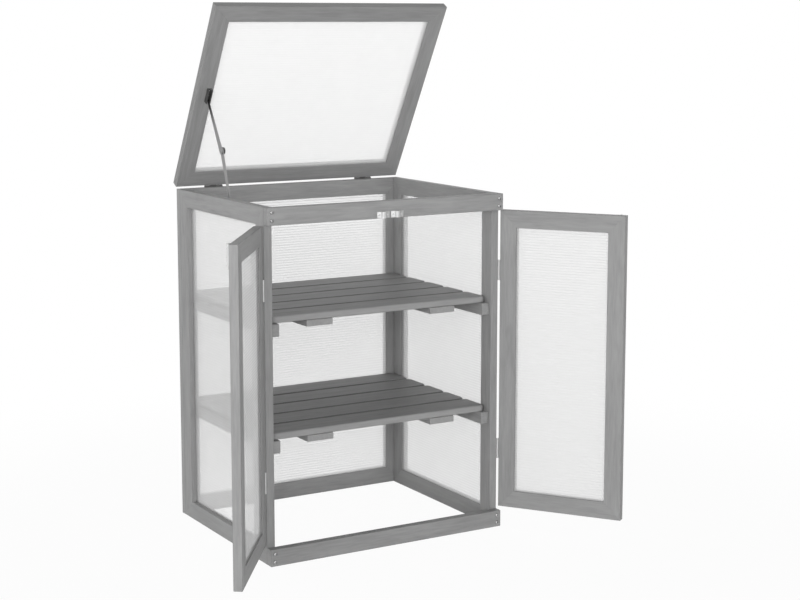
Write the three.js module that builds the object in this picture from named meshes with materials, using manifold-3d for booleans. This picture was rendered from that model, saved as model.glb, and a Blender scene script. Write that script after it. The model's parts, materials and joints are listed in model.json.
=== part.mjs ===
import * as THREE from "three";
import { mergeVertices } from "three/addons/utils/BufferGeometryUtils.js";
import Module from "manifold-3d";

// A wooden mini greenhouse: glazed timber frames, two doors, a lid on a stay and two slatted shelves.
// Millimetres. +X is to the viewer's right, +Y runs to the back and +Z is up.
// The origin is under the front bottom rail, halfway along it and halfway through its thickness.

// Cabinet
const cabinetWidth = 580;
const cabinetDepth = 468;
const cabinetHeight = 760;
const boardThickness = 18.5;
const frameBoardWidth = 38.5; // the boards of every glazed frame
const frontRailHeight = 37;
const seatGap = 0.3; // between pieces that lie on one another

// Glazing
const paneThickness = 4;
const paneSetback = 2.5; // from the inner face of the boards to the pane
const grooveDepth = 8; // how far a pane's edge reaches into the boards

// Doors
const doorCentreGap = 2;
const doorBottomGap = 5.5;
const doorTopGap = 1.5;
const doorOpenDegrees = 125;

// Lid
const lidRaise = 2; // from the cabinet's top to the shut lid
const lidOpenDegrees = 60;

// Shelves and the runners that carry them
const runnerWidth = 18.5;
const runnerHeight = 27;
const runnerSetback = 7; // from the front edge of the side panel
const upperRunnerTop = 512.5;
const lowerRunnerTop = 263;
const slatWidth = 76;
const slatThickness = 14.5;
const slatLeastSpace = 6; // slats are spread evenly, at least this far apart
const shelfSetback = 34; // from the cabinet's front face
const shelfBackGap = 2.5; // from the last slat to the back panel
const shelfEndGap = 4.5; // from a side panel to the ends of the slats
const battenWidth = 62.5;
const battenThickness = 14;
const battenInset = 114; // from the ends of the slats to the middle of a batten

// Hinges
const doorHingeLength = 46;
const doorHingeInset = 135; // from a door's top or bottom to the middle of its hinge
const lidHingeLength = 45;
const lidHingeInset = 93; // from the cabinet's side to the middle of a lid hinge
const hingeLeafWidth = 15;
const hingeLeafThickness = 1.2;
const hingeBarrelRadius = 2.1;
const hingePinRadius = 1;
const knuckleCount = 3;
const runningGap = 0.3; // between pieces that turn or slide on one another

// Barrel bolts and their keepers
const boltInset = 16; // from a door's free edge to the middle of its bolt
const boltPlateHeight = 40;
const boltPlateWidth = 26;
const boltRodRadius = 2;
const boltTravel = 15;
const boltNose = 1; // how far the drawn rod stands above its plate
const boltTail = 8; // how far it hangs below
const boltKnobRadius = 2;
const boltKnobReach = 10; // from the middle of the rod, along the plate
const upperStrapHeight = 8;
const fittingThickness = 1; // sheet of the bolts and keepers
const keeperWidth = 30.7;
const keeperHeight = 14;
const keeperLoopWidth = 8.4; // inside, where the rod has play sideways
const keeperLift = 0.5; // above the lower edge of the front top rail

// Stay
const stayArmEndWidth = 7; // at the outer pivots
const stayArmKneeWidth = 15;
const stayArmThickness = 1.5;
const lowerArmLength = 124.5; // between pivots
const kneeOffset = 12.3; // from the line between the outer pivots, with the lid open
const stayFromSide = 27; // from the cabinet's left face to the upper arm
const cabinetPivotReach = 228; // from the cabinet's back face
const cabinetPivotDrop = 20; // below the cabinet's top
const lidPivotReach = 234; // from the cabinet's back face, along the shut lid
const lidPivotDrop = 8; // below the lid
const stayPinRadius = 1.5;
const stayBossRadius = 4;
const stayBracketLength = 34;
const stayBracketHeight = 20;
const stayBracketThickness = 1.5;
const lidBracketInset = 22; // from the cabinet's left face to the lid bracket
const lidBracketWidth = 10;
const lidBracketEnd = 5; // from the lid pivot to the bracket's end nearest the hinges
const kneeKnobRadius = 8;
const kneeKnobThickness = 5;

const roundSides = 24;

// Places worked out from the sizes
const frontFace = -boardThickness / 2;
const backFace = frontFace + cabinetDepth;
const halfWidth = cabinetWidth / 2;
const sideInnerFace = halfWidth - boardThickness;
const sideFrontEdge = frontFace + boardThickness + seatGap;
const sideBackEdge = backFace - boardThickness - seatGap;
const doorWidth = halfWidth - doorCentreGap / 2;
const doorBottom = frontRailHeight + doorBottomGap;
const doorTop = cabinetHeight - frontRailHeight - doorTopGap;
const lidUnderside = cabinetHeight + lidRaise;
const hingeStandOff = hingeBarrelRadius + seatGap;

const wasm = await Module();
wasm.setup();

const greyPaint = new THREE.MeshStandardMaterial({ color: 0x959595, roughness: 0.7, metalness: 0 });
const shelfPaint = new THREE.MeshStandardMaterial({ color: 0x898989, roughness: 0.75, metalness: 0 });
const flutedSheet = new THREE.MeshStandardMaterial({
  color: 0xefefef,
  roughness: 0.3,
  metalness: 0,
  transparent: true,
  opacity: 0.5,
});
const zincSteel = new THREE.MeshStandardMaterial({ color: 0xd2d2d2, roughness: 0.35, metalness: 0.9 });
const stayArmSteel = new THREE.MeshStandardMaterial({ color: 0x9c9c9c, roughness: 0.4, metalness: 0.9 });
const darkSteel = new THREE.MeshStandardMaterial({ color: 0x464646, roughness: 0.45, metalness: 0.8 });

const greenhouse = new THREE.Group();

// Booleans on closed geometries
function solidOf(geometry) {
  const bare = geometry.clone();
  bare.deleteAttribute("normal");
  bare.deleteAttribute("uv");
  const merged = mergeVertices(bare);
  const mesh = new wasm.Mesh({
    numProp: 3,
    vertProperties: merged.getAttribute("position").array,
    triVerts: new Uint32Array(merged.getIndex().array),
  });
  return new wasm.Manifold(mesh);
}

function geometryOf(solid) {
  const mesh = solid.getMesh();
  const geometry = new THREE.BufferGeometry();
  geometry.setAttribute("position", new THREE.BufferAttribute(mesh.vertProperties, mesh.numProp));
  geometry.setIndex(new THREE.BufferAttribute(mesh.triVerts, 1));
  const faceted = geometry.toNonIndexed();
  faceted.computeVertexNormals();
  return faceted;
}

function join(...geometries) {
  return geometryOf(geometries.map(solidOf).reduce((whole, piece) => whole.add(piece)));
}

function cut(geometry, ...tools) {
  return geometryOf(
    tools.map(solidOf).reduce((whole, tool) => whole.subtract(tool), solidOf(geometry)),
  );
}

// A box between two values on each axis
function block([left, right], [front, back], [bottom, top]) {
  const geometry = new THREE.BoxGeometry(right - left, back - front, top - bottom);
  return geometry.translate((left + right) / 2, (front + back) / 2, (bottom + top) / 2);
}

// A round bar along Z
function rod(radius, [bottom, top]) {
  const geometry = new THREE.CylinderGeometry(radius, radius, top - bottom, roundSides);
  return geometry.rotateX(Math.PI / 2).translate(0, 0, (bottom + top) / 2);
}

// A round bar along X, through a point given as [y, z]
function crossPin(radius, [left, right], [y, z]) {
  return rod(radius, [left, right])
    .rotateY(Math.PI / 2)
    .translate(0, y, z);
}

// An outline in X and Y, extruded along Z
function prism(shape, [bottom, top]) {
  const options = { depth: top - bottom, bevelEnabled: false, curveSegments: roundSides / 2 };
  return new THREE.ExtrudeGeometry(shape, options).translate(0, 0, bottom);
}

function centred(size) {
  return [-size / 2, size / 2];
}

function addPiece(group, name, geometry, material) {
  const piece = new THREE.Mesh(geometry, material);
  piece.name = name;
  group.add(piece);
  return piece;
}

function groupAt(parent, x, y, z) {
  const group = new THREE.Group();
  group.position.set(x, y, z);
  parent.add(group);
  return group;
}

// A group that turns about a point and holds its pieces at their shut places in the cabinet's axes
function swingingGroup(axisPoint, turnX, turnZ) {
  const pivot = groupAt(greenhouse, ...axisPoint);
  pivot.rotation.set(turnX, 0, turnZ);
  return groupAt(pivot, ...axisPoint.map((value) => -value));
}

// Glazed frames

// A board mitred at both ends, lying along X with its outer edge at z = 0 and its inner edge above it
function mitredBoard(length) {
  const mitreTrim = seatGap / Math.SQRT2;
  const outer = length / 2 - mitreTrim;
  const inner = outer - frameBoardWidth;
  const outline = new THREE.Shape();
  outline.moveTo(-outer, 0);
  outline.lineTo(outer, 0);
  outline.lineTo(inner, frameBoardWidth);
  outline.lineTo(-inner, frameBoardWidth);
  outline.closePath();
  return prism(outline, centred(boardThickness)).rotateX(Math.PI / 2);
}

// Four mitred boards round a pane, standing in the group's XZ plane about its origin.
// names gives the bottom, right, top and left board, then the pane. inward is 1 where the face
// that looks into the cabinet is on the group's +Y side, and -1 where it is on the other.
function glazedFrame(group, width, height, inward, names) {
  const paneWidth = width - 2 * (frameBoardWidth - grooveDepth);
  const paneHeight = height - 2 * (frameBoardWidth - grooveDepth);
  const paneShift = inward * (boardThickness / 2 - paneSetback - paneThickness / 2);
  const pane = block(centred(paneWidth), centred(paneThickness), centred(paneHeight));
  const groove = block(
    centred(paneWidth + 2 * seatGap),
    centred(paneThickness + 2 * seatGap),
    centred(paneHeight + 2 * seatGap),
  );
  pane.translate(0, paneShift, 0);
  groove.translate(0, paneShift, 0);
  const boards = [
    [width, height],
    [height, width],
    [width, height],
    [height, width],
  ];
  boards.forEach(([length, span], side) => {
    const board = mitredBoard(length).translate(0, 0, -span / 2);
    board.rotateY((-side * Math.PI) / 2);
    addPiece(group, names[side], cut(board, groove), greyPaint);
  });
  addPiece(group, names[boards.length], pane, flutedSheet);
}

// Hinges

// Which knuckles belong to the fixed leaf: the even ones, so the moving leaf holds the middle one
function knuckleSpans(length) {
  const knuckle = (length - (knuckleCount - 1) * runningGap) / knuckleCount;
  return Array.from({ length: knuckleCount }, (_, i) => {
    const bottom = -length / 2 + i * (knuckle + runningGap);
    return [bottom, bottom + knuckle];
  });
}

// A hinge on the Z axis. The wood lies past hingeStandOff on the +X side, the fixed leaf reaches
// along +Y with the pin in it, and the moving leaf along -Y when the hinge is shut flat.
function hingeLeaves(length) {
  const leafSpan = [hingeBarrelRadius - hingeLeafThickness, hingeBarrelRadius];
  const clearOfBarrel = hingeBarrelRadius + runningGap;
  const spans = knuckleSpans(length);
  const knucklesOf = (parity) => spans.filter((_, i) => i % 2 === parity);
  const fixedLeaf = join(
    block(leafSpan, [clearOfBarrel, hingeLeafWidth], centred(length)),
    ...knucklesOf(0).map((span) => block(leafSpan, [0, hingeLeafWidth], span)),
    ...knucklesOf(0).map((span) => rod(hingeBarrelRadius, span)),
    rod(hingePinRadius, centred(length)),
  );
  const movingLeaf = cut(
    join(
      block(leafSpan, [-hingeLeafWidth, -clearOfBarrel], centred(length)),
      ...knucklesOf(1).map((span) => block(leafSpan, [-hingeLeafWidth, 0], span)),
      ...knucklesOf(1).map((span) => rod(hingeBarrelRadius, span)),
    ),
    rod(hingePinRadius + runningGap, centred(length)),
  );
  return [fixedLeaf, movingLeaf];
}

// Puts a hinge's two leaves at a point, turned so that its X and Y axes lie along the given ones
function addHinge(names, length, point, xAxis, yAxis, fixedGroup, movingGroup) {
  const zAxis = new THREE.Vector3().crossVectors(xAxis, yAxis);
  const place = new THREE.Matrix4().makeBasis(xAxis, yAxis, zAxis).setPosition(...point);
  hingeLeaves(length).forEach((leaf, i) => {
    addPiece(i === 0 ? fixedGroup : movingGroup, names[i], leaf.applyMatrix4(place), zincSteel);
  });
}

// Cabinet: two side panels, a back panel and two front rails
function addCabinet() {
  for (const [side, sign] of [["left", -1], ["right", 1]]) {
    const panel = groupAt(
      greenhouse,
      sign * (halfWidth - boardThickness / 2),
      (sideFrontEdge + sideBackEdge) / 2,
      cabinetHeight / 2,
    );
    panel.rotation.z = Math.PI / 2;
    glazedFrame(panel, sideBackEdge - sideFrontEdge, cabinetHeight, sign, [
      `${side}_bottom_rail`,
      `${side}_back_post`,
      `${side}_top_rail`,
      `${side}_front_post`,
      `${side}_pane`,
    ]);
  }
  const back = groupAt(greenhouse, 0, backFace - boardThickness / 2, cabinetHeight / 2);
  glazedFrame(back, cabinetWidth, cabinetHeight, -1, [
    "back_bottom_rail",
    "back_right_stile",
    "back_top_rail",
    "back_left_stile",
    "back_pane",
  ]);
  const railTops = { front_bottom_rail: frontRailHeight, front_top_rail: cabinetHeight };
  for (const [name, top] of Object.entries(railTops)) {
    const rail = block(
      centred(cabinetWidth),
      [frontFace, frontFace + boardThickness],
      [top - frontRailHeight, top],
    );
    addPiece(greenhouse, name, rail, greyPaint);
  }
}

// Runners on the side panels, and a loose shelf on each pair
function addRunners(level, top) {
  const backEnd = backFace - boardThickness - seatGap;
  const span = [sideFrontEdge + runnerSetback, backEnd];
  for (const [side, sign] of [["left", -1], ["right", 1]]) {
    const runner = block(centred(runnerWidth), span, [top - runnerHeight, top]);
    runner.translate(sign * (sideInnerFace - seatGap - runnerWidth / 2), 0, 0);
    addPiece(greenhouse, `${level}_${side}_runner`, runner, greyPaint);
  }
}

function addShelf(level, runnerTop) {
  const front = frontFace + shelfSetback;
  const back = backFace - boardThickness - shelfBackGap;
  const end = sideInnerFace - shelfEndGap;
  const underside = runnerTop + seatGap;
  const slatCount = Math.floor((back - front + slatLeastSpace) / (slatWidth + slatLeastSpace));
  const slatPitch = (back - front - slatWidth) / (slatCount - 1);
  const slats = Array.from({ length: slatCount }, (_, i) => {
    const slatFront = front + i * slatPitch;
    return block(
      [-end, end],
      [slatFront, slatFront + slatWidth],
      [underside, underside + slatThickness],
    );
  });
  const battens = [battenInset - end, end - battenInset].map((x) =>
    block(
      [x - battenWidth / 2, x + battenWidth / 2],
      [front, back],
      [underside - battenThickness, underside],
    ),
  );
  addPiece(greenhouse, `${level}_shelf`, join(...slats, ...battens), shelfPaint);
}

// Barrel bolts

const boltAxisOut = seatGap + fittingThickness + runningGap + boltRodRadius; // out from the wood
const boreRadius = boltRodRadius + runningGap;

// Sheet bent over the rod: two ears on the wood and an arch between them, seen along Z.
// The wood's face is at y = 0 and the arch stands out along -Y, as wide inside as loopWidth.
function archOutline(earReach, loopWidth) {
  const earBack = -seatGap;
  const earFront = -seatGap - fittingThickness;
  const inside = loopWidth / 2;
  const outside = inside + fittingThickness;
  const rise = boreRadius + fittingThickness;
  const shape = new THREE.Shape();
  shape.moveTo(-earReach, earBack);
  shape.lineTo(-earReach, earFront);
  shape.lineTo(-outside, earFront);
  shape.lineTo(-outside, -boltAxisOut);
  shape.absellipse(0, -boltAxisOut, outside, rise, Math.PI, 2 * Math.PI, false, 0);
  shape.lineTo(outside, earFront);
  shape.lineTo(earReach, earFront);
  shape.lineTo(earReach, earBack);
  shape.lineTo(inside, earBack);
  shape.lineTo(inside, -boltAxisOut);
  shape.absellipse(0, -boltAxisOut, inside, boreRadius, 2 * Math.PI, Math.PI, true, 0);
  shape.lineTo(-inside, earBack);
  shape.closePath();
  return shape;
}

// The bolt's plate with a strap at each end, and the rod with its knob between the straps,
// turned flat towards the door's hinges
function addBolt(side, sign, x, doorGroup) {
  const top = doorTop;
  const bottom = top - boltPlateHeight;
  const knobRoom = boltTravel + 2 * (boltKnobRadius + runningGap);
  const lowerStrapTop = top - upperStrapHeight - knobRoom;
  const plate = join(
    block(centred(boltPlateWidth), [-seatGap - fittingThickness, -seatGap], [bottom, top]),
    prism(archOutline(boltPlateWidth / 2, 2 * boreRadius), [bottom, lowerStrapTop]),
    prism(archOutline(boltPlateWidth / 2, 2 * boreRadius), [top - upperStrapHeight, top]),
  );
  const knobZ = lowerStrapTop + runningGap + boltKnobRadius;
  const knob = rod(boltKnobRadius, [0, boltKnobReach])
    .rotateY((sign * Math.PI) / 2)
    .translate(0, -boltAxisOut, knobZ);
  const bar = rod(boltRodRadius, [bottom - boltTail, top + boltNose]).translate(0, -boltAxisOut, 0);
  addPiece(doorGroup, `${side}_bolt_plate`, plate.translate(x, frontFace, 0), zincSteel);
  addPiece(doorGroup, `${side}_bolt_rod`, join(bar, knob).translate(x, frontFace, 0), zincSteel);
}

function addKeeper(side, x) {
  const bottom = cabinetHeight - frontRailHeight + keeperLift;
  const outline = archOutline(keeperWidth / 2, keeperLoopWidth);
  const keeper = prism(outline, [bottom, bottom + keeperHeight]);
  addPiece(greenhouse, `${side}_bolt_keeper`, keeper.translate(x, frontFace, 0), zincSteel);
}

// Doors, each hung on the outer face of its side panel
function addDoor(side, sign) {
  const axisX = sign * (halfWidth + hingeStandOff);
  const axisY = frontFace + boardThickness + seatGap / 2;
  const turn = sign * THREE.MathUtils.degToRad(doorOpenDegrees);
  const door = swingingGroup([axisX, axisY, 0], 0, turn);
  const middle = groupAt(
    door,
    sign * (halfWidth - doorWidth / 2),
    frontFace + boardThickness / 2,
    (doorBottom + doorTop) / 2,
  );
  const [rightStile, leftStile] = sign < 0 ? ["free", "hinge"] : ["hinge", "free"];
  glazedFrame(middle, doorWidth, doorTop - doorBottom, 1, [
    `${side}_door_bottom_rail`,
    `${side}_door_${rightStile}_stile`,
    `${side}_door_top_rail`,
    `${side}_door_${leftStile}_stile`,
    `${side}_door_pane`,
  ]);
  const hingePlaces = { lower: doorBottom + doorHingeInset, upper: doorTop - doorHingeInset };
  for (const [level, z] of Object.entries(hingePlaces)) {
    addHinge(
      [`${side}_${level}_hinge_post_leaf`, `${side}_${level}_hinge_door_leaf`],
      doorHingeLength,
      [axisX, axisY, z],
      new THREE.Vector3(-sign, 0, 0),
      new THREE.Vector3(0, 1, 0),
      greenhouse,
      door,
    );
  }
  const boltX = sign * (halfWidth - doorWidth + boltInset);
  addBolt(side, sign, boltX, door);
  addKeeper(side, boltX);
}

// Lid, hung on the outer face of the back panel
const lidAxis = [0, backFace + hingeStandOff, cabinetHeight + lidRaise / 2];

function addLid() {
  const lid = swingingGroup(lidAxis, -THREE.MathUtils.degToRad(lidOpenDegrees), 0);
  const middle = groupAt(
    lid,
    0,
    (frontFace + backFace) / 2,
    lidUnderside + boardThickness / 2,
  );
  middle.rotation.x = -Math.PI / 2;
  glazedFrame(middle, cabinetWidth, cabinetDepth, 1, [
    "lid_back_rail",
    "lid_right_stile",
    "lid_front_rail",
    "lid_left_stile",
    "lid_pane",
  ]);
  for (const [side, sign] of [["left", -1], ["right", 1]]) {
    addHinge(
      [`lid_${side}_hinge_back_leaf`, `lid_${side}_hinge_lid_leaf`],
      lidHingeLength,
      [sign * (halfWidth - lidHingeInset), lidAxis[1], lidAxis[2]],
      new THREE.Vector3(0, -1, 0),
      new THREE.Vector3(0, 0, -1),
      greenhouse,
      lid,
    );
  }
  return lid;
}

// Stay: two flat arms side by side, a bracket on the cabinet and a bracket on the lid.
// Places in its plane are [y, z] pairs.

const upperArmSpan = [stayFromSide - halfWidth, stayFromSide - halfWidth + stayArmThickness];
const lowerArmSpan = upperArmSpan.map((x) => x + stayArmThickness + runningGap);
const cabinetPivot = [backFace - cabinetPivotReach, cabinetHeight - cabinetPivotDrop];
const lidPivotShut = [backFace - lidPivotReach, lidUnderside - lidPivotDrop];

// Where a point of the shut lid lies once the lid is open
function onOpenLid([y, z]) {
  const open = THREE.MathUtils.degToRad(lidOpenDegrees);
  const fromAxis = new THREE.Vector2(y - lidAxis[1], z - lidAxis[2]);
  fromAxis.rotateAround(new THREE.Vector2(), -open);
  return [lidAxis[1] + fromAxis.x, lidAxis[2] + fromAxis.y];
}

// The knee, in front of the line between the two pivots. The upper arm's length follows from it.
function kneePlace(lidPivot) {
  const line = new THREE.Vector2(lidPivot[0] - cabinetPivot[0], lidPivot[1] - cabinetPivot[1]);
  const angle = line.angle() + Math.asin(kneeOffset / lowerArmLength);
  return [
    cabinetPivot[0] + lowerArmLength * Math.cos(angle),
    cabinetPivot[1] + lowerArmLength * Math.sin(angle),
  ];
}

// A flat bar with round ends from one point to another. It has a hole for the pin at the first
// and widens to the second, its knee.
function stayArm(xSpan, from, to) {
  const line = new THREE.Vector2(to[0] - from[0], to[1] - from[1]);
  const endRadius = stayArmEndWidth / 2;
  const kneeRadius = stayArmKneeWidth / 2;
  const meeting = Math.PI / 2 + Math.asin((kneeRadius - endRadius) / line.length());
  const outline = new THREE.Shape();
  outline.absarc(0, 0, endRadius, meeting, 2 * Math.PI - meeting, false);
  outline.absarc(line.length(), 0, kneeRadius, -meeting, meeting, false);
  outline.closePath();
  const bar = cut(
    prism(outline, centred(xSpan[1] - xSpan[0])),
    rod(stayPinRadius + runningGap, centred(stayArmEndWidth)),
  );
  const along = new THREE.Vector3(0, line.x, line.y).normalize();
  const across = new THREE.Vector3(1, 0, 0).cross(along);
  const place = new THREE.Matrix4().makeBasis(along, across, new THREE.Vector3(1, 0, 0));
  place.setPosition((xSpan[0] + xSpan[1]) / 2, from[0], from[1]);
  return bar.applyMatrix4(place);
}

function addStay(lid) {
  const lidPivot = onOpenLid(lidPivotShut);
  const knee = kneePlace(lidPivot);
  const plateLeft = -sideInnerFace + seatGap;
  const bossRight = lowerArmSpan[0] - runningGap;
  const cabinetBracket = join(
    block(
      [plateLeft, plateLeft + stayBracketThickness],
      [cabinetPivot[0] - stayBracketLength / 2, cabinetPivot[0] + stayBracketLength / 2],
      [cabinetPivot[1] - stayBracketHeight / 2, cabinetPivot[1] + stayBracketHeight / 2],
    ),
    crossPin(stayBossRadius, [plateLeft, bossRight], cabinetPivot),
    crossPin(stayPinRadius, [plateLeft, lowerArmSpan[1]], cabinetPivot),
  );
  addPiece(greenhouse, "stay_cabinet_bracket", cabinetBracket, darkSteel);
  const kneeKnob = crossPin(
    kneeKnobRadius,
    [lowerArmSpan[0] + stayArmThickness / 2, lowerArmSpan[1] + kneeKnobThickness],
    knee,
  );
  const lowerArm = join(stayArm(lowerArmSpan, cabinetPivot, knee), kneeKnob);
  addPiece(greenhouse, "stay_lower_arm", lowerArm, stayArmSteel);
  addPiece(greenhouse, "stay_upper_arm", stayArm(upperArmSpan, lidPivot, knee), stayArmSteel);

  // A channel that holds the upper arm between its flanges
  const channelLeft = lidBracketInset - halfWidth;
  const channelRight = channelLeft + lidBracketWidth;
  const plateTop = lidUnderside - seatGap;
  const nearEnd = lidPivotShut[0] + lidBracketEnd;
  const along = [nearEnd - stayBracketLength, nearEnd];
  const deep = [lidPivotShut[1] - stayBossRadius, plateTop];
  const lidBracket = join(
    block([channelLeft, channelRight], along, [plateTop - stayBracketThickness, plateTop]),
    block([channelLeft, channelLeft + stayBracketThickness], along, deep),
    block([channelRight - stayBracketThickness, channelRight], along, deep),
    crossPin(stayPinRadius, [channelLeft, channelRight], lidPivotShut),
  );
  addPiece(lid, "stay_lid_bracket", lidBracket, darkSteel);
}

addCabinet();
addRunners("upper", upperRunnerTop);
addRunners("lower", lowerRunnerTop);
addShelf("upper", upperRunnerTop);
addShelf("lower", lowerRunnerTop);
addDoor("left", -1);
addDoor("right", 1);
addStay(addLid());

export default greenhouse;
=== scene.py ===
import json
import math

import bmesh
import bpy
from mathutils import Matrix, Vector

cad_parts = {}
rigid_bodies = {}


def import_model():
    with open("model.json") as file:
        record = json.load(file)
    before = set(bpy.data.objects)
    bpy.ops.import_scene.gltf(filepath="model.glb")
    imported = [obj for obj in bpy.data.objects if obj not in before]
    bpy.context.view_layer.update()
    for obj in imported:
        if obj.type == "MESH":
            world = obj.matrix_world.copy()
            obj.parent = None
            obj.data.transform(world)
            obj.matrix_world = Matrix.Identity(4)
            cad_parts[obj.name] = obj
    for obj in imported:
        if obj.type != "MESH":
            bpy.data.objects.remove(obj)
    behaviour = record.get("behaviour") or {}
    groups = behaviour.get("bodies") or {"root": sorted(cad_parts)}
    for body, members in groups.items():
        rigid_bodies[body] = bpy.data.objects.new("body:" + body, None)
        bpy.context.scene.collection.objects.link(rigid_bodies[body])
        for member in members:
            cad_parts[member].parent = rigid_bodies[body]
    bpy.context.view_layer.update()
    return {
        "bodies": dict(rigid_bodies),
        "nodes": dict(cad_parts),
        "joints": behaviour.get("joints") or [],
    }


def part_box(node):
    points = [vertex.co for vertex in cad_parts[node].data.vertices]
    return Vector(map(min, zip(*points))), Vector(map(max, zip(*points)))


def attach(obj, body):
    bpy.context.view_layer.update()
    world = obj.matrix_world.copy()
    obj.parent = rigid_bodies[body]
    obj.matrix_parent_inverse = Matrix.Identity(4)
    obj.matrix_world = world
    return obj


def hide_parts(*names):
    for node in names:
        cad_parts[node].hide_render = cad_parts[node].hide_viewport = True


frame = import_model()

# A wooden mini greenhouse. Metres: +X to the viewer's right, +Y to the back, +Z up.
MM = 0.001

# CAD solids
WELD_REACH = 0.002 * MM  # corners closer than this are one
FLAT_DEGREES = 1  # faces that meet at less than this are one
SHARP_DEGREES = 30  # edges sharper than this are eased
ROUND_DEGREES = 40  # faces that meet at less than this are shaded as one round face
STRAIGHT_COSINE = 0.999  # an edge this near to an axis runs along it

# Timber
BOARD_EASE = 0.9 * MM  # the arris along a board
BOARD_EASE_STEPS = 2
BOARD_END_COSINE = 0.5  # a face whose normal is this near to lengthwise is an end
REVEAL_COSINE = 0.9  # a face whose normal is this near to the pane's way is an inner edge
MITRE_EASE = 0.06 * MM
MITRE_GAP = 0.4 * MM  # along a board, between its two mitres and its neighbours
SQUARE_END_EASE = 0.7 * MM

# Shelves
SLAT_COUNT = 5
SLAT_WIDTH = 76 * MM
SLAT_THICKNESS = 14.5 * MM
SLAT_CORNER = 11 * MM  # rounding of a slat's corners, seen from above
SLAT_CORNER_STEPS = 6
SLAT_ARRIS = 3.4 * MM
SLAT_ARRIS_STEPS = 3
SLAT_SIDE_COSINE = 0.5  # a face whose normal is further than this from upright is an edge
SHADED_TILT = 0.6  # sine of the tilt past which the paint between two slats is dark
BATTEN_WIDTH = 62.5 * MM
BATTEN_THICKNESS = 14 * MM
BATTEN_INSET = 114 * MM  # from the ends of the slats to the middle of a batten
BATTEN_EASE = 1.4 * MM
NAIL_PLACES = ((-11 * MM, -17 * MM), (11 * MM, 17 * MM))  # from where a slat crosses a batten
NAIL_HEAD = (2.4 * MM, 0.4 * MM)  # radius and rise

# Fluted sheet
FLUTE_PITCH = 6 * MM
FLUTE_SAG = 0.12 * MM  # how far the skin dips between two ribs
FLUTE_STEPS = 6

# Fittings
SHEET_STEEL_EASE = 0.25 * MM
SHEET_STEEL_FACE = 1.3 * MM  # how far a bolt's plate or a keeper's ear stands off the wood
RAIL_SCREW_HEAD = (4.4 * MM, 3.2 * MM)
RAIL_SCREW_INSETS = (10 * MM, 27 * MM)  # from a rail's outer edge
RAIL_SCREW_END = 10 * MM
HINGE_SCREW_HEAD = (2.9 * MM, 0.7 * MM)
HINGE_SCREW_REACH = 8.8 * MM  # from the hinge's axis
HINGE_SCREW_SPREAD = 14 * MM  # from the middle of the leaf
LEAF_BEHIND_AXIS = 0.9 * MM  # the leaf's outer face
BOLT_SCREW_HEAD = (2.2 * MM, 0.8 * MM)
BOLT_SCREW_REACH = 8.4 * MM  # from the middle of the plate
BOLT_SCREW_END = 4.2 * MM
KEEPER_SCREW_REACH = 10.3 * MM

# Screw heads
SCREW_SIDES = 32
SCREW_RING_SHARES = (1.0, 0.98, 0.93, 0.85, 0.74, 0.62, 0.48, 0.34, 0.18)  # of the radius
SCREW_DOME_POWER = 2.4
SCREW_ROOT_SHARE = 0.1  # of the rise, that the rim is sunk
RECESS_REACH_SHARE = 0.55  # of the radius
RECESS_HALF_WIDTH_SHARE = 0.11  # of the radius
RECESS_HEIGHT_SHARE = 0.55  # of the dome's height there
RECESS_TURN = 0.9  # radians from one screw's recess to the next one's

# Stay
STAY_END_WIDTH = 7 * MM
STAY_KNEE_WIDTH = 15 * MM
STAY_ARM_THICKNESS = 1.5 * MM
STAY_ROUND_STEPS = 16
LOWER_ARM_LENGTH = 124.5 * MM
KNEE_OFFSET = 12.3 * MM
KNOB_RADIUS = 8 * MM
KNOB_THICKNESS = 5 * MM
KNOB_RIBS = 18
KNOB_RIB_SHARE = 0.05  # of the radius
KNOB_RIBBED_SHARE = 0.9  # of the radius, beyond which the knob is ribbed
KNOB_STEPS_PER_RIB = 4
KNOB_PROFILE_SHARES = (  # of the radius and of the thickness, from foot to crown
    (0.82, 0.0),
    (0.95, 0.08),
    (1.0, 0.2),
    (1.0, 0.75),
    (0.93, 0.92),
    (0.78, 1.0),
    (0.5, 0.94),
)
RIVET_HEAD = (3 * MM, 1.1 * MM)
KNEE_RIVET_HEAD = (3.8 * MM, 1.2 * MM)
BRACKET_SCREW_HEAD = (2.2 * MM, 0.7 * MM)
BRACKET_SCREW_SPREAD = 12 * MM
CHANNEL_SCREW_PLACES = (-23 * MM, -11 * MM)  # from the lid pivot, along the shut lid
BRACKET_SHEET = 1.5 * MM
STAY_SHADE_REACH = 66 * MM  # how far the painted shade on the upper arm reaches from the lid pivot

# Finishes
GRAIN_SHIFT = (7.0, 3.0, 5.0)  # how far a piece number of 1 moves the pattern
HAZE_SHIFT = (4.0, 2.0, 1.0)
PLATE_SHIFT = (0.3, 0.2, 0.1)
GRAIN_DEPTH = 0.3 * MM
SHEET_COVER = 0.37  # share of a sheet that isn't clear
SHEET_RIB_COVER = 0.3  # added to it at the middle of a rib, where the ribs have depth 1
SHEET_BAY_COVER = -0.08  # added to it all over such a sheet
SHEET_RIB_TINT = 0.7  # share by which such a rib is darker
SHEET_GLOW = 0.3  # share of what isn't clear that glows with light from behind
SHEET_IOR = 1.45
SCUFF_DEPTH = 0.02 * MM
PLATE_MARK_DEPTH = 0.05 * MM
COAT_PEEL_DEPTH = 0.05 * MM
SHADE_SHARE = 0.12  # of the unshaded steel's level, where the painted shade is darkest
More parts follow.
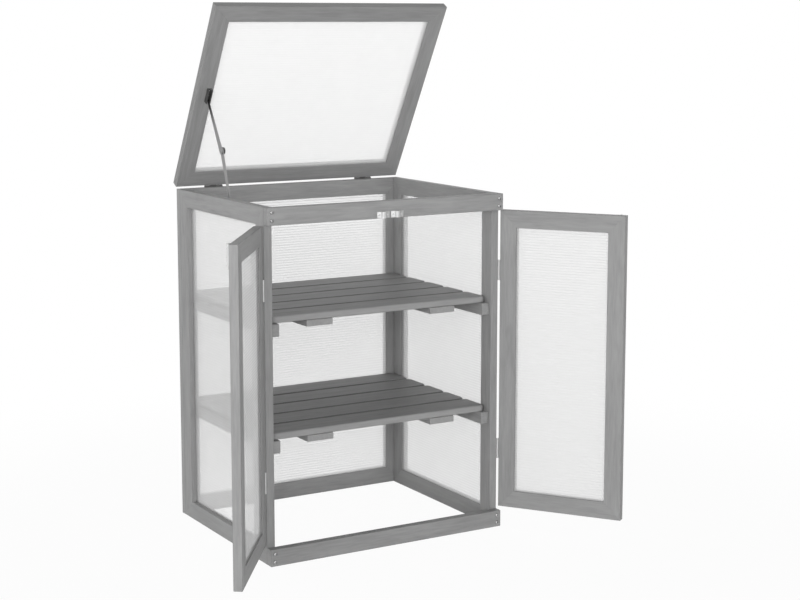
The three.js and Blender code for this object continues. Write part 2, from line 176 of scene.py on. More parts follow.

# Studio
FLOOR_RADIUS = 14
FLOOR_SIDES = 64
FLOOR_LEVELS = (0.88, 0.92)  # of its darker and paler speckles
FLOOR_WHITE_SHARE = 0.955  # of pure white in what is seen of the floor, near its middle
FLOOR_FADE = (0.7, 1.8)  # distances from the middle between which the rest turns white
HORIZON_LIGHT = 1.45
ZENITH_LIGHT = 0.1
SKY_FALL_HEIGHTS = (0.05, 0.75)  # the sky's light falls off between them
SKY_FALL_RIGHT = 0.2  # share of it lost at the far right, and gained at the far left
SOFTBOX_TARGET = (0, 0.2, 0.5)
SOFTBOXES = (  # name, place, width and height, watts
    ("left_softbox", (-3.6, -3.4, 1.4), (4.6, 2.6), 84),
    ("front_softbox", (-1.5, -4.6, 1.2), (3.6, 2.2), 38),
    ("back_softbox", (2.8, 4.0, 1.3), (4.6, 2.4), 50),
)
CAMERA_LENS = 76.09
CAMERA_SENSOR = 36
CAMERA_SHIFT = -0.05  # upward, as a share of the picture's width
CAMERA_PLACE = (-1.8028, -3.1002, 1.1415)
CAMERA_DOWN_DEGREES = 8.10
CAMERA_RIGHT_DEGREES = 30.59
CAMERA_REACH = 100


# Places

RIGHT = Vector((1, 0, 0))
BACKWARD = Vector((0, 1, 0))
FORWARD = Vector((0, -1, 0))
DOWN = Vector((0, 0, -1))

joint_of = {joint["child"]: joint for joint in frame["joints"]}


def hung(body):
    """The turn that takes a body from its shut place to its place at rest."""
    joint = joint_of.get(body)
    if joint is None or joint["type"] != "hinge":
        return Matrix.Identity(4)
    pivot = Vector(joint["pos_m"])
    turn = Matrix.Rotation(math.radians(-joint["range_deg"][0]), 4, Vector(joint["axis"]))
    return Matrix.Translation(pivot) @ turn @ Matrix.Translation(-pivot)


def shut_box(node, body):
    """Corners of a node's box with its body shut, when every piece lies square to the axes."""
    unswing = hung(body).inverted()
    points = [unswing @ v.co for v in frame["nodes"][node].data.vertices]
    spans = list(zip(*points))
    return Vector([min(span) for span in spans]), Vector([max(span) for span in spans])


def axes_at(centre, along, across):
    """A place whose X runs along and whose Y runs across."""
    through = along.cross(across)
    turn = Matrix((along, across, through)).transposed()
    return Matrix.Translation(centre) @ turn.to_4x4()


def lying(low, high, order=None):
    """Axes of a straight piece from its box: X along it, Y across its face and Z through it."""
    size = high - low
    along, across = (order or sorted(range(3), key=lambda i: -size[i]))[:2]
    unit = [Vector([float(i == k) for k in range(3)]) for i in range(3)]
    return axes_at((low + high) / 2, unit[along], unit[across])


# Meshes

def cad_solid(node, place):
    """A CAD node's solid with whole faces, in the axes of the given place."""
    solid = bmesh.new()
    solid.from_mesh(frame["nodes"][node].data)
    solid.transform(place.inverted())
    bmesh.ops.remove_doubles(solid, verts=solid.verts, dist=WELD_REACH)
    bmesh.ops.dissolve_limit(
        solid, angle_limit=math.radians(FLAT_DEGREES), verts=solid.verts, edges=solid.edges
    )
    return solid


def sharp_edges(solid):
    ridges = [e for e in solid.edges if e.is_manifold and e.is_convex]
    return [e for e in ridges if e.calc_face_angle() > math.radians(SHARP_DEGREES)]


def way_of(edge):
    first, second = (v.co for v in edge.verts)
    return (second - first).normalized()


def is_lengthwise(edge):
    return abs(way_of(edge).x) > STRAIGHT_COSINE


def is_upright(edge):
    return abs(way_of(edge).z) > STRAIGHT_COSINE


def ease(solid, edges, width, steps, finish=-1):
    """Rounds edges over, and gives what is made there a finish by its number in the list."""
    bmesh.ops.bevel(
        solid,
        geom=list(edges),
        offset=width,
        offset_type="OFFSET",
        segments=steps,
        profile=0.5,
        affect="EDGES",
        clamp_overlap=True,
        material=finish,
    )


def box_solid(length, width, thickness):
    solid = bmesh.new()
    bmesh.ops.create_cube(solid, size=1, matrix=Matrix.Diagonal((length, width, thickness, 1)))
    return solid


def new_object(name, data):
    made = bpy.data.objects.new(name, data)
    bpy.context.scene.collection.objects.link(made)
    return made


def add_piece(name, solid, place, body, finishes, stands_for=(), is_round=False):
    mesh = bpy.data.meshes.new(name)
    solid.to_mesh(mesh)
    solid.free()
    for finish in finishes:
        mesh.materials.append(finish)
    if is_round:
        mesh.shade_smooth()
        mesh.set_sharp_from_angle(angle=math.radians(ROUND_DEGREES))
    piece = new_object(name, mesh)
    piece.matrix_world = place
    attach(piece, body)
    if stands_for:
        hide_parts(*stands_for)
    return piece


# Materials

class Value:
    """An output of a material's node. Sums written with it add the nodes that work them out."""

    def __init__(self, finish, socket):
        self.finish = finish
        self.socket = socket

    def __add__(self, other):
        return self.finish.sum("ADD", self, other)

    def __radd__(self, other):
        return self.finish.sum("ADD", other, self)

    def __sub__(self, other):
        return self.finish.sum("SUBTRACT", self, other)

    def __rsub__(self, other):
        return self.finish.sum("SUBTRACT", other, self)

    def __mul__(self, other):
        return self.finish.sum("MULTIPLY", self, other)

    def __rmul__(self, other):
        return self.finish.sum("MULTIPLY", other, self)

    def cosine(self):
        return self.finish.sum("COSINE", self)

    def rise(self, low, high):
        """0 below low, 1 above high, and a smooth step between."""
        return self.finish.node(
            "ShaderNodeMapRange",
            {"interpolation_type": "SMOOTHSTEP"},
            {"Value": self, "From Min": low, "From Max": high},
        )


class Finish:
    """A material, and the way its nodes are made."""

    def __init__(self, name, world=False):
        maker = bpy.data.worlds if world else bpy.data.materials
        self.data = maker.new(name)
        self.data.use_nodes = True
        self.tree = self.data.node_tree
        self.tree.nodes.clear()

    def node(self, kind, settings=None, inputs=None, output=0):
        made = self.tree.nodes.new(kind)
        for setting, value in (settings or {}).items():
            setattr(made, setting, value)
        for key, value in (inputs or {}).items():
            socket = made.inputs[key]
            if isinstance(value, Value):
                self.tree.links.new(value.socket, socket)
            elif socket.type == "RGBA":
                socket.default_value = (*value[:3], 1)
            elif socket.type == "VECTOR" and not isinstance(value, (tuple, Vector)):
                socket.default_value = (value,) * 3
            else:
                socket.default_value = value
        return Value(self, made.outputs[output]) if made.outputs else None

    def sum(self, operation, *terms):
        on_vectors = any(
            isinstance(t, tuple) or (isinstance(t, Value) and t.socket.type == "VECTOR")
            for t in terms
        )
        kind = "ShaderNodeVectorMath" if on_vectors else "ShaderNodeMath"
        return self.node(kind, {"operation": operation}, dict(enumerate(terms)))

    def place(self):
        return self.node("ShaderNodeTexCoord", output="Object")

    def piece_number(self):
        """A number from 0 to 1 that differs from piece to piece."""
        return self.node("ShaderNodeObjectInfo", output="Random")

    def noise(self, place, scale, detail=2, distortion=0):
        """Soft patches from 0 to 1, about scale of them to the metre."""
        inputs = {"Vector": place, "Scale": scale, "Detail": detail, "Distortion": distortion}
        return self.node("ShaderNodeTexNoise", inputs=inputs)

    def streaks(self, place, squeeze, scale, detail=2, distortion=0):
        """Noise drawn out along X, where only the given share of its scale is left."""
        return self.noise(place * (squeeze, 1.0, 1.0), scale, detail, distortion)

    def colour_between(self, low, high, share):
        return self.node(
            "ShaderNodeMix", {"data_type": "RGBA"}, {0: share, 6: low, 7: high}, output=2
        )

    def bump(self, height, strength, depth):
        return self.node(
            "ShaderNodeBump", inputs={"Height": height, "Strength": strength, "Distance": depth}
        )

    def surface(self, **inputs):
        named = {key.replace("_", " "): value for key, value in inputs.items()}
        return self.show(self.node("ShaderNodeBsdfPrincipled", inputs=named))

    def show(self, shader):
        self.node("ShaderNodeOutputMaterial", inputs={"Surface": shader})
        return self.data


def grey(level):
    return (level, level, level)


def painted_timber(name, level, contrast=0.13):
    """Matt grey paint over softwood, whose grain runs along X and differs from board to board."""
    finish = Finish(name)
    place = finish.place()
    board = finish.piece_number()
    shifted = place + board * GRAIN_SHIFT
    bands = finish.streaks(shifted, squeeze=0.1, scale=75, detail=3, distortion=0.4)
    lines = finish.streaks(shifted, squeeze=0.09, scale=300)
    smudges = finish.streaks(shifted, squeeze=0.25, scale=38).rise(0.62, 0.78)
    fibres = finish.streaks(shifted, squeeze=0.03, scale=1300)
    tone = 0.5 + (bands - 0.5) * 1.2 + (lines - 0.5) * 1.0 + (board - 0.5) * 0.2
    tone = tone - smudges * 0.3
    base = finish.colour_between(grey(level * (1 - contrast)), grey(level * (1 + contrast)), tone)
    surface_height = bands * 0.35 + lines * 0.35 + fibres * 0.3
    return finish.surface(
        Base_Color=base,
        Roughness=0.64 + (lines - 0.5) * 0.2 + smudges * 0.08,
        Normal=finish.bump(surface_height, strength=0.3, depth=GRAIN_DEPTH),
    )


def fluted_sheet(name, level, rib_depth):
    """Clear twin-wall sheet with a whitish haze: ribs a pitch apart along Y, flutes along X."""
    finish = Finish(name)
    place = finish.place()
    piece = finish.piece_number()
    across = finish.node("ShaderNodeSeparateXYZ", inputs={0: place}, output=1)
    rib = (across * (2 * math.pi / FLUTE_PITCH)).cosine().rise(0.2, 1.0)
    haze = finish.noise(place + piece * HAZE_SHIFT, scale=14, detail=3)
    scuffs = finish.streaks(place, squeeze=0.1, scale=300).rise(0.6, 0.85)
    # The real ribs, darker and less clear by rib_depth, whose strength differs from sheet to sheet
    # as painted light and shade
    rib_level = level * (1 - SHEET_RIB_TINT * rib_depth)
    tint = finish.colour_between(grey(level), grey(rib_level), rib)
    scratched = finish.bump(scuffs, strength=0.15, depth=SCUFF_DEPTH)
    lit = finish.node(
        "ShaderNodeBsdfPrincipled",
        inputs={
            "Base Color": tint,
            "Roughness": 0.3 + haze * 0.12 + scuffs * 0.1,
            "IOR": SHEET_IOR,
            "Normal": scratched,
        },
    )
    glow = finish.node("ShaderNodeBsdfTranslucent", inputs={"Color": grey(level)})
    both = finish.node("ShaderNodeMixShader", inputs={0: SHEET_GLOW, 1: lit, 2: glow})
    clear = finish.node("ShaderNodeBsdfTransparent", inputs={"Color": grey(1.0)})
    cover = SHEET_COVER + SHEET_BAY_COVER * rib_depth + rib * (SHEET_RIB_COVER * rib_depth)
    cover = cover + haze * 0.05 + scuffs * 0.02
    return finish.show(finish.node("ShaderNodeMixShader", inputs={0: cover, 1: clear, 2: both}))


def plated_steel(name, level, roughness, metallic=1.0, mottle=0.12, shade_reach=0):
    """Zinc plate, dull in patches, with rolling marks along X. Painted shade darkens it near x = 0.
    """
    finish = Finish(name)
    place = finish.place()
    piece = finish.piece_number()
    shifted = place + piece * PLATE_SHIFT
    patches = finish.noise(shifted, scale=170, detail=3)
    marks = finish.streaks(shifted, squeeze=0.06, scale=2200)
    colour = finish.colour_between(
        grey(level * (1 - mottle)), grey(level * (1 + mottle)), patches * 0.7 + marks * 0.3
    )
    if shade_reach:
        along = finish.node("ShaderNodeSeparateXYZ", inputs={0: place})
        unshaded = along.rise(0.0, shade_reach)
        colour = finish.colour_between(grey(level * SHADE_SHARE), colour, unshaded)
    return finish.surface(
        Base_Color=colour,
        Metallic=metallic,
        Roughness=roughness + (patches - 0.5) * 0.16 + (marks - 0.5) * 0.1,
        Normal=finish.bump(marks + patches, strength=0.12, depth=PLATE_MARK_DEPTH),
    )


def coated_steel(name, level, roughness):
    """Black coated steel with the fine orange peel of its coat and a little dust."""
    finish = Finish(name)
    place = finish.place()
    peel = finish.noise(place, scale=1500)
    dust = finish.noise(place, scale=120, detail=4).rise(0.45, 0.75)
    return finish.surface(
        Base_Color=finish.colour_between(grey(level), grey(level * 1.7), dust),
        Roughness=roughness + dust * 0.15,
        Normal=finish.bump(peel, strength=0.2, depth=COAT_PEEL_DEPTH),
    )


frame_paint = painted_timber("frame_paint", level=0.29, contrast=0.17)
# A darker copy of the frame's paint for the lid: painted shade on its underside
lid_paint = painted_timber("lid_paint", level=0.265, contrast=0.17)
# A darker copy of the frame's paint for the eased arrises and ends: painted shade along the edges
frame_paint_arris = painted_timber("frame_paint_arris", level=0.25)
# Paler paint for the reveals outside the sheets: painted light, where the glowing sheet would light
# them
reveal_paint = painted_timber("reveal_paint", level=0.55)
shelf_paint = painted_timber("shelf_paint", level=0.215, contrast=0.2)
# Lit and shaded copies of the shelves' paint: a painted highlight on the edges, painted shade
# between the slats
shelf_paint_edge = painted_timber("shelf_paint_edge", level=0.3)
shelf_paint_shaded = painted_timber("shelf_paint_shaded", level=0.135)
# One twin-wall sheet throughout, whose copies differ as painted light and shade: darker on the
# doors and the lid, with the real ribs showing more or less strongly
back_sheet = fluted_sheet("back_sheet", level=1.0, rib_depth=0.8)
right_sheet = fluted_sheet("right_sheet", level=1.0, rib_depth=0.65)
left_sheet = fluted_sheet("left_sheet", level=1.0, rib_depth=0.1)
lid_sheet = fluted_sheet("lid_sheet", level=0.97, rib_depth=0.04)
door_sheet = fluted_sheet("door_sheet", level=0.81, rib_depth=0.36)
zinc_finish = plated_steel("bright_zinc", level=0.6, roughness=0.42, metallic=0.35)
screw_finish = plated_steel("screw_zinc", level=0.42, roughness=0.24)
# Zinc darkened as painted shade, for the lid's hinges in the shaded gap behind the lid
lid_hinge_shade_finish = plated_steel("tarnished_zinc", level=0.14, roughness=0.5)
stay_finish = plated_steel("dull_zinc", level=0.31, roughness=0.45)
# The stay's upper arm, darker near the lid's bracket as painted shade
shaded_arm_finish = plated_steel(
    "smutted_zinc", level=0.31, roughness=0.45, shade_reach=STAY_SHADE_REACH
)
dark_finish = coated_steel("black_coat", level=0.05, roughness=0.45)


# Timber

# Places in a board's or a slat's list of finishes, after that of its faces. Eased edges carry
# painted shade on boards and a painted highlight on slats; sides carry painted light on most
# reveals and painted shade between slats.
EASED, SIDE = 1, 2


def paint_light_on_reveal(board, pane_middle):
    """Gives its own finish to the board's inner edge outside its pane, which on most panels is
    painted light.
    """
    for face in board.faces:
        if face.normal.y * pane_middle.y > REVEAL_COSINE * abs(pane_middle.y):
            if face.calc_center_median().z * pane_middle.z < 0:
                face.material_index = SIDE


def add_board(
    node, body, end_ease, end_gap=0, paint=frame_paint, pane=None, reveal=frame_paint
):
    """A CAD board with eased arrises and ends, drawn out to close the gaps at its ends."""
    low, high = shut_box(node, body)
    place = hung(body) @ lying(low, high)
    board = cad_solid(node, place)
    drawn = 1 + end_gap / max(high - low)
    bmesh.ops.scale(board, vec=(drawn, 1, 1), verts=board.verts)
    # The eased arrises and ends take the darker arris finish, a painted shade
    arrises = [e for e in sharp_edges(board) if is_lengthwise(e)]
    ease(board, arrises, BOARD_EASE, BOARD_EASE_STEPS, EASED)
    ends = [f for f in board.faces if abs(f.normal.x) > BOARD_END_COSINE]
    rim = {e for f in ends for e in f.edges}
    ease(board, [e for e in sharp_edges(board) if e in rim], end_ease, steps=1, finish=EASED)
    if pane:
        pane_middle = sum(shut_box(pane, body), Vector()) / 2
        paint_light_on_reveal(board, lying(low, high).inverted() @ pane_middle)
    add_piece(
        f"{node}_board",
        board,
        place,
        body,
        [paint, frame_paint_arris, reveal],
        stands_for=[node],
    )


def add_slat(name, body, place, length, width, thickness, corner, arris, shaded=()):
    """A slat whose edges carry a painted highlight, and whose sides on the shaded ways along Y
    carry painted shade.
    """
    slat = box_solid(length, width, thickness)
    if corner:
        ease(slat, [e for e in slat.edges if is_upright(e)], corner, SLAT_CORNER_STEPS)
    rim = [e for e in sharp_edges(slat) if not is_upright(e)]
    ease(slat, rim, arris, SLAT_ARRIS_STEPS, EASED)
    for face in slat.faces:
        if abs(face.normal.z) < SLAT_SIDE_COSINE:
            face.material_index = EASED
        if any(face.normal.y * way > SHADED_TILT for way in shaded):
            face.material_index = SIDE
    finishes = [shelf_paint, shelf_paint_edge, shelf_paint_shaded]
    return add_piece(name, slat, place, body, finishes)


def add_shelf(node):
    low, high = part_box(node)
    slat_z = high.z - SLAT_THICKNESS / 2
    pitch = (high.y - low.y - SLAT_WIDTH) / (SLAT_COUNT - 1)
    slat_ys = [low.y + SLAT_WIDTH / 2 + i * pitch for i in range(SLAT_COUNT)]
    for i, y in enumerate(slat_ys):
        slat = add_slat(
            f"{node}_slat_{i + 1}",
            node,
            Matrix.Translation((0, y, slat_z)),
            high.x - low.x,
            SLAT_WIDTH,
            SLAT_THICKNESS,
            corner=SLAT_CORNER,
            arris=SLAT_ARRIS,
            shaded=[way for way in (-1, 1) if 0 <= i + way < SLAT_COUNT],
        )
        if i == 0:
            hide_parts(node)
    add_battens(node, low, high, slat_ys)


def add_battens(node, low, high, slat_ys):
    """The battens under a shelf's slats, and the heads of the nails that hold them."""
    nails = []
    for side, x in (("left", low.x + BATTEN_INSET), ("right", high.x - BATTEN_INSET)):
        middle = Vector((x, (low.y + high.y) / 2, low.z + BATTEN_THICKNESS / 2))
        add_slat(
            f"{node}_{side}_batten",
            node,
            axes_at(middle, BACKWARD, -RIGHT),
            high.y - low.y,
            BATTEN_WIDTH,
            BATTEN_THICKNESS,
            corner=0,
            arris=BATTEN_EASE,
        )
        nails += [
            (Vector((x + dx, y + dy, low.z)), DOWN)
            for y in slat_ys
            for dx, dy in NAIL_PLACES
        ]
    add_screws(f"{node}_nails", nails, node, NAIL_HEAD, recessed=False)


# Screws

def screw_head(radius, rise, recessed=True):
    """A domed head on the plane z = 0, with a cross recess or plain."""
    head = bmesh.new()
    rings = []
    for share in SCREW_RING_SHARES:
        height = -SCREW_ROOT_SHARE * rise
        if share < 1.0:
            height = rise * math.sqrt(1.0 - share**SCREW_DOME_POWER)
        ring = []
        for i in range(SCREW_SIDES):
            angle = 2 * math.pi * i / SCREW_SIDES
            x = radius * share * math.cos(angle)
            y = radius * share * math.sin(angle)
            in_recess = (
                recessed
                and share < RECESS_REACH_SHARE
                and min(abs(x), abs(y)) < RECESS_HALF_WIDTH_SHARE * radius
            )
            z = height * RECESS_HEIGHT_SHARE if in_recess else height
            ring.append(head.verts.new((x, y, z)))
        rings.append(ring)
    for outer, inner in zip(rings, rings[1:]):
        for i in range(SCREW_SIDES):
            k = (i + 1) % SCREW_SIDES
            head.faces.new((outer[i], outer[k], inner[k], inner[i]))
    head.faces.new(rings[-1])
    head.faces.new(reversed(rings[0]))
    return head


def facing(point, outward):
    """A place at a point whose Z faces outward."""
    return Matrix.Translation(point) @ outward.to_track_quat("Z", "Y").to_matrix().to_4x4()


def merged(parts):
    """Several meshes, each with its place, as one."""
    whole = bmesh.new()
    scrap = bpy.data.meshes.new("scrap")
    for solid, place in parts:
        solid.transform(place)
        solid.to_mesh(scrap)
        solid.free()
        whole.from_mesh(scrap)
    bpy.data.meshes.remove(scrap)
    return whole


def add_screws(
    name, seats, body, head, recessed=True, slot="zinc_steel", finish=zinc_finish, at_rest=False
):
    """Screw heads on seats, each a point and the way it faces with the body shut, or at rest."""
    swing = Matrix.Identity(4) if at_rest else hung(body)
    parts = [
        (
            screw_head(*head, recessed),
            swing @ facing(point, outward) @ Matrix.Rotation(RECESS_TURN * i, 4, "Z"),
        )
        for i, (point, outward) in enumerate(seats)
    ]
    middle = sum((place.translation for _, place in parts), Vector()) / len(parts)
    whole = merged(parts)
    whole.transform(Matrix.Translation(-middle))
    add_piece(
        name,
        whole,
        Matrix.Translation(middle),
        body,
        [finish],
        is_round=True,
    )


# Sheets

def add_pane(node, body, flutes_along, finish):
    """A fluted sheet in its grooves: two skins that dip a little between the ribs."""
    low, high = shut_box(node, body)
    size = high - low
    through = min(range(3), key=lambda i: size[i])
    across = next(i for i in range(3) if i not in (through, flutes_along))
    place = hung(body) @ lying(low, high, (flutes_along, across))
    half_length, half_width, half_thickness = (
        size[axis] / 2 for axis in (flutes_along, across, through)
    )
    corners = ((-half_length, 1), (half_length, 1), (half_length, -1), (-half_length, -1))
    sheet = bmesh.new()
    steps = round(2 * half_width / (FLUTE_PITCH / FLUTE_STEPS))
    columns = []
    for i in range(steps + 1):
        y = -half_width + 2 * half_width * i / steps
        dip = FLUTE_SAG * (1 - math.cos(2 * math.pi * y / FLUTE_PITCH)) / 2
        z = half_thickness - dip
        columns.append([sheet.verts.new((x, y, side * z)) for x, side in corners])
    for near, far in zip(columns, columns[1:]):
        for i in range(len(corners)):
            k = (i + 1) % len(corners)
            sheet.faces.new((near[i], near[k], far[k], far[i]))
    sheet.faces.new(reversed(columns[0]))
    sheet.faces.new(columns[-1])
    bmesh.ops.recalc_face_normals(sheet, faces=sheet.faces)
    add_piece(
        f"{node}_sheet",
        sheet,
        place,
        body,
        [finish],
        stands_for=[node],
        is_round=True,
    )


# Fittings

def add_fitting(node, body, slot, finish, shut_with=None):
    """A CAD fitting with eased edges, square to the axes when its carrier is shut."""
    carrier = shut_with or body
    place = hung(carrier) @ lying(*shut_box(node, carrier))
    fitting = cad_solid(node, place)
    ease(fitting, sharp_edges(fitting), SHEET_STEEL_EASE, steps=1)
    add_piece(f"{node}_fitting", fitting, place, body, [finish], [node], is_round=True)


def add_hinge(leaves, swinging, outward, way, finish):
    """Two leaves and their screws. The fixed leaf runs the way given from the hinge's axis."""
    axis = Vector(joint_of[swinging]["pos_m"])
    barrel = outward.cross(way)
    for node, body, side in zip(leaves, ("cabinet", swinging), (way, -way)):
        add_fitting(node, body, "zinc_steel", finish)
        low, high = shut_box(node, body)
        seat = (
            barrel * barrel.dot((low + high) / 2)
            + outward * (outward.dot(axis) - LEAF_BEHIND_AXIS)
            + side * (side.dot(axis) + HINGE_SCREW_REACH)
        )
        spreads = (-HINGE_SCREW_SPREAD, HINGE_SCREW_SPREAD)
        seats = [(seat + barrel * spread, outward) for spread in spreads]
        add_screws(f"{node}_screws", seats, body, HINGE_SCREW_HEAD)


def add_bolt(side):
    door = f"{side}_door"
    face_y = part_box("front_top_rail")[0].y - SHEET_STEEL_FACE
    add_fitting(f"{side}_bolt_plate", door, "zinc_steel", zinc_finish)
    add_fitting(f"{side}_bolt_rod", f"{side}_bolt", "zinc_steel", zinc_finish, shut_with=door)
    add_fitting(f"{side}_bolt_keeper", "cabinet", "zinc_steel", zinc_finish)
    low, high = shut_box(f"{side}_bolt_plate", door)
    seats = [
        (Vector(((low.x + high.x) / 2 + dx, face_y, z)), FORWARD)
        for dx in (-BOLT_SCREW_REACH, BOLT_SCREW_REACH)
        for z in (low.z + BOLT_SCREW_END, high.z - BOLT_SCREW_END)
    ]
    add_screws(f"{side}_bolt_plate_screws", seats, door, BOLT_SCREW_HEAD)
    low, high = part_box(f"{side}_bolt_keeper")
    seats = [
        (Vector(((low.x + high.x) / 2 + dx, face_y, (low.z + high.z) / 2)), FORWARD)
        for dx in (-KEEPER_SCREW_REACH, KEEPER_SCREW_REACH)
    ]
    add_screws(f"{side}_bolt_keeper_screws", seats, "cabinet", BOLT_SCREW_HEAD)


def add_rail_screws():
    low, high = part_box("front_bottom_rail")
    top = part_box("front_top_rail")[1].z
    seats = [
        (Vector((x, low.y, z)), FORWARD)
        for x in (low.x + RAIL_SCREW_END, high.x - RAIL_SCREW_END)
        for inset in RAIL_SCREW_INSETS
        for z in (low.z + inset, top - inset)
    ]
    add_screws("front_rail_screws", seats, "cabinet", RAIL_SCREW_HEAD, finish=screw_finish)


# Stay

def flat_bar(length):
    """A bar along X with round ends about both pivots, which widens to its knee."""
    end, knee = STAY_END_WIDTH / 2, STAY_KNEE_WIDTH / 2
    meeting = math.pi / 2 + math.asin((knee - end) / length)
    outline = [
        (centre + radius * math.cos(angle), radius * math.sin(angle))
        for centre, radius, first, last in (
            (length, knee, -meeting, meeting),
            (0, end, meeting, 2 * math.pi - meeting),
        )
        for angle in (
            first + (last - first) * i / STAY_ROUND_STEPS for i in range(STAY_ROUND_STEPS + 1)
        )
    ]
    bar = bmesh.new()
    bottom = [bar.verts.new((x, y, -STAY_ARM_THICKNESS / 2)) for x, y in outline]
    top = [bar.verts.new((x, y, STAY_ARM_THICKNESS / 2)) for x, y in outline]
    bar.faces.new(reversed(bottom))
    bar.faces.new(top)
    for i in range(len(outline)):
        k = (i + 1) % len(outline)
        bar.faces.new((bottom[i], bottom[k], top[k], top[i]))
    ease(bar, sharp_edges(bar), SHEET_STEEL_EASE, steps=2)
    return bar


def ribbed_knob():
    """A round knob along Z from z = 0, ribbed for grip and domed at its far end."""
    knob = bmesh.new()
    sides = KNOB_RIBS * KNOB_STEPS_PER_RIB
    rings = []
    for share, height_share in KNOB_PROFILE_SHARES:
        rib = KNOB_RIB_SHARE if share > KNOB_RIBBED_SHARE else 0
        z = KNOB_THICKNESS * height_share
        ring = []
        for i in range(sides):
            angle = 2 * math.pi * i / sides
            reach = KNOB_RADIUS * (share - rib * (1 - math.cos(KNOB_RIBS * angle)) / 2)
            ring.append(knob.verts.new((reach * math.cos(angle), reach * math.sin(angle), z)))
        rings.append(ring)
    for lower, upper in zip(rings, rings[1:]):
        for i in range(sides):
            k = (i + 1) % sides
            knob.faces.new((lower[i], lower[k], upper[k], upper[i]))
    knob.faces.new(reversed(rings[0]))
    knob.faces.new(rings[-1])
    return knob


def bar_place(start, end):
    """A place at start whose X runs to end and whose Z faces the viewer's right."""
    along = (end - start).normalized()
    return axes_at(start, along, RIGHT.cross(along))


def add_stay_arms(cabinet_pivot, lid_pivot):
    """Both arms as photographed, the knee knob on the lower one and its rivet on the upper one."""
    span = lid_pivot - cabinet_pivot
    angle = math.atan2(span.z, span.y) + math.asin(KNEE_OFFSET / LOWER_ARM_LENGTH)
    knee_y = cabinet_pivot.y + LOWER_ARM_LENGTH * math.cos(angle)
    knee_z = cabinet_pivot.z + LOWER_ARM_LENGTH * math.sin(angle)
    for level, pivot, finish in (
        ("lower", cabinet_pivot, stay_finish),
        # the upper arm carries painted shade near the lid pivot
        ("upper", lid_pivot, shaded_arm_finish),
    ):
        knee = Vector((pivot.x, knee_y, knee_z))
        add_piece(
            f"stay_{level}_bar",
            flat_bar((knee - pivot).length),
            bar_place(pivot, knee),
            f"stay_{level}",
            [finish],
            [f"stay_{level}_arm"],
            is_round=True,
        )
    add_piece(
        "stay_knee_knob",
        ribbed_knob(),
        facing(Vector((cabinet_pivot.x + STAY_ARM_THICKNESS / 2, knee_y, knee_z)), RIGHT),
        "stay_lower",
        [dark_finish],
        is_round=True,
    )
    add_screws(
        "stay_knee_rivet",
        [(Vector((lid_pivot.x - STAY_ARM_THICKNESS / 2, knee_y, knee_z)), -RIGHT)],
        "stay_upper",
        KNEE_RIVET_HEAD,
        recessed=False,
        slot="stay_steel",
        finish=stay_finish,
        at_rest=True,
    )


def add_stay_brackets(cabinet_pivot, lid_pivot):
    dark = {"slot": "dark_steel", "finish": dark_finish}
    pin = [(cabinet_pivot + RIGHT * STAY_ARM_THICKNESS / 2, RIGHT)]
    add_screws("stay_cabinet_rivet", pin, "cabinet", RIVET_HEAD, recessed=False, **dark)
    sheet_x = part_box("stay_cabinet_bracket")[0].x + BRACKET_SHEET
    seats = [
        (Vector((sheet_x, cabinet_pivot.y + dy, cabinet_pivot.z)), RIGHT)
        for dy in (-BRACKET_SCREW_SPREAD, BRACKET_SCREW_SPREAD)
    ]
    add_screws("stay_cabinet_bracket_screws", seats, "cabinet", BRACKET_SCREW_HEAD, **dark)
    low, high = shut_box("stay_lid_bracket", "lid")
    shut_pivot = hung("lid").inverted() @ lid_pivot
    ends = [
        (Vector((x, shut_pivot.y, shut_pivot.z)), way)
        for x, way in ((low.x, -RIGHT), (high.x, RIGHT))
    ]
    add_screws("stay_lid_rivets", ends, "lid", RIVET_HEAD, recessed=False, **dark)
    seats = [
        (Vector(((low.x + high.x) / 2, shut_pivot.y + dy, high.z - BRACKET_SHEET)), DOWN)
        for dy in CHANNEL_SCREW_PLACES
    ]
    add_screws("stay_lid_bracket_screws", seats, "lid", BRACKET_SCREW_HEAD)
    for node, body in (("stay_cabinet_bracket", "cabinet"), ("stay_lid_bracket", "lid")):
        add_fitting(node, body, **dark)


# Everything in its place

MITRED = {
    "left": (left_sheet, "bottom_rail", "back_post", "top_rail", "front_post"),
    "right": (right_sheet, "bottom_rail", "back_post", "top_rail", "front_post"),
    "back": (back_sheet, "bottom_rail", "right_stile", "top_rail", "left_stile"),
    "left_door": (door_sheet, "bottom_rail", "free_stile", "top_rail", "hinge_stile"),
    "right_door": (door_sheet, "bottom_rail", "free_stile", "top_rail", "hinge_stile"),
    "lid": (lid_sheet, "back_rail", "right_stile", "front_rail", "left_stile"),
}
for panel, (sheet, *boards) in MITRED.items():
    body = panel if panel in frame["bodies"] else "cabinet"
    pane = f"{panel}_pane"
    # the lid's frame takes the frame's paint darkened as painted shade
    paint = lid_paint if panel == "lid" else frame_paint
    # every panel's reveals but the left one's carry painted light
    reveal = frame_paint if panel == "left" else reveal_paint
    for board in boards:
        add_board(f"{panel}_{board}", body, MITRE_EASE, MITRE_GAP, paint, pane, reveal)
    add_pane(pane, body, 1 if panel in ("left", "right") else 0, sheet)

for rail in ("front_bottom_rail", "front_top_rail"):
    add_board(rail, "cabinet", SQUARE_END_EASE)
for level in ("upper", "lower"):
    for side in ("left", "right"):
        add_board(f"{level}_{side}_runner", "cabinet", SQUARE_END_EASE)
    add_shelf(f"{level}_shelf")

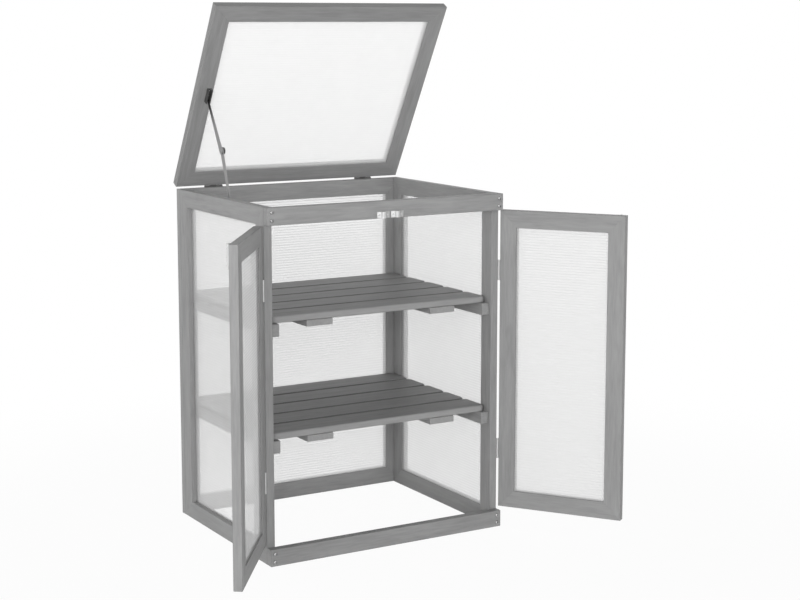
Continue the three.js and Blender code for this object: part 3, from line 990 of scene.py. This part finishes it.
for side, outward in (("left", -RIGHT), ("right", RIGHT)):
    for level in ("lower", "upper"):
        hinge = f"{side}_{level}_hinge"
        leaves = (f"{hinge}_post_leaf", f"{hinge}_door_leaf")
        add_hinge(leaves, f"{side}_door", outward, BACKWARD, zinc_finish)
    hinge = f"lid_{side}_hinge"
    leaves = (f"{hinge}_back_leaf", f"{hinge}_lid_leaf")
    # the lid's hinges take zinc darkened as painted shade
    add_hinge(leaves, "lid", BACKWARD, DOWN, lid_hinge_shade_finish)
    add_bolt(side)
add_rail_screws()

stay_pivots = [Vector(joint_of[arm]["pos_m"]) for arm in ("stay_lower", "stay_upper")]
add_stay_arms(*stay_pivots)
add_stay_brackets(*stay_pivots)


# Studio

def seen_directly(finish):
    """1 for rays that show a thing to the camera, in a mirror or through glass, and 0 for light."""
    rays = [
        finish.node("ShaderNodeLightPath", output=f"Is {kind} Ray")
        for kind in ("Camera", "Glossy", "Transmission")
    ]
    return (rays[0] + rays[1] + rays[2]).rise(0.0, 1.0)


def add_floor():
    floor = bmesh.new()
    bmesh.ops.create_circle(floor, cap_ends=True, segments=FLOOR_SIDES, radius=FLOOR_RADIUS)
    mesh = bpy.data.meshes.new("floor")
    floor.to_mesh(mesh)
    floor.free()
    finish = Finish("pale_floor")
    speckle = finish.noise(finish.place(), scale=60)
    low, high = map(grey, FLOOR_LEVELS)
    distance = finish.node(
        "ShaderNodeVectorMath", {"operation": "LENGTH"}, {0: finish.place()}, output="Value"
    )
    lit = finish.node(
        "ShaderNodeBsdfPrincipled",
        inputs={
            "Base Color": finish.colour_between(low, high, speckle),
            "Roughness": 0.9,
            "Specular IOR Level": 0.0,
        },
    )
    white = finish.node("ShaderNodeEmission", inputs={"Color": grey(1.0), "Strength": 1.0})
    whiteness = FLOOR_WHITE_SHARE + (1 - FLOOR_WHITE_SHARE) * distance.rise(*FLOOR_FADE)
    share = seen_directly(finish) * whiteness
    finish.show(finish.node("ShaderNodeMixShader", inputs={0: share, 1: lit, 2: white}))
    mesh.materials.append(finish.data)
    new_object("floor", mesh)


def add_world():
    """A studio, white to look at, that lights the part mostly from its sides and its left."""
    sky = Finish("studio", world=True)
    way = sky.node("ShaderNodeTexCoord", output="Generated")
    right = sky.node("ShaderNodeSeparateXYZ", inputs={0: way}, output=0)
    height = sky.node("ShaderNodeSeparateXYZ", inputs={0: way}, output=2)
    light = HORIZON_LIGHT + (ZENITH_LIGHT - HORIZON_LIGHT) * height.rise(*SKY_FALL_HEIGHTS)
    light = light * (1 - right * SKY_FALL_RIGHT)
    level = light + seen_directly(sky) * (1 - light)
    shown = sky.node("ShaderNodeBackground", inputs={"Color": grey(1.0), "Strength": level})
    sky.node("ShaderNodeOutputWorld", inputs={"Surface": shown})
    bpy.context.scene.world = sky.data


def add_softbox(name, place, size, power):
    light = bpy.data.lights.new(name, "AREA")
    light.shape = "RECTANGLE"
    light.size, light.size_y = size
    light.energy = power
    lamp = new_object(name, light)
    lamp.location = place
    aim = Vector(SOFTBOX_TARGET) - Vector(place)
    lamp.rotation_euler = aim.to_track_quat("-Z", "Y").to_euler()


def add_camera():
    camera = bpy.data.cameras.new("camera")
    camera.lens = CAMERA_LENS
    camera.sensor_width = CAMERA_SENSOR
    camera.shift_y = CAMERA_SHIFT
    camera.clip_end = CAMERA_REACH
    eye = new_object("camera", camera)
    eye.location = CAMERA_PLACE
    tilt = math.radians(90 - CAMERA_DOWN_DEGREES)
    eye.rotation_euler = (tilt, 0, -math.radians(CAMERA_RIGHT_DEGREES))
    bpy.context.scene.camera = eye


add_floor()
add_world()
for softbox in SOFTBOXES:
    add_softbox(*softbox)
add_camera()
bpy.context.scene.view_settings.view_transform = "Standard"
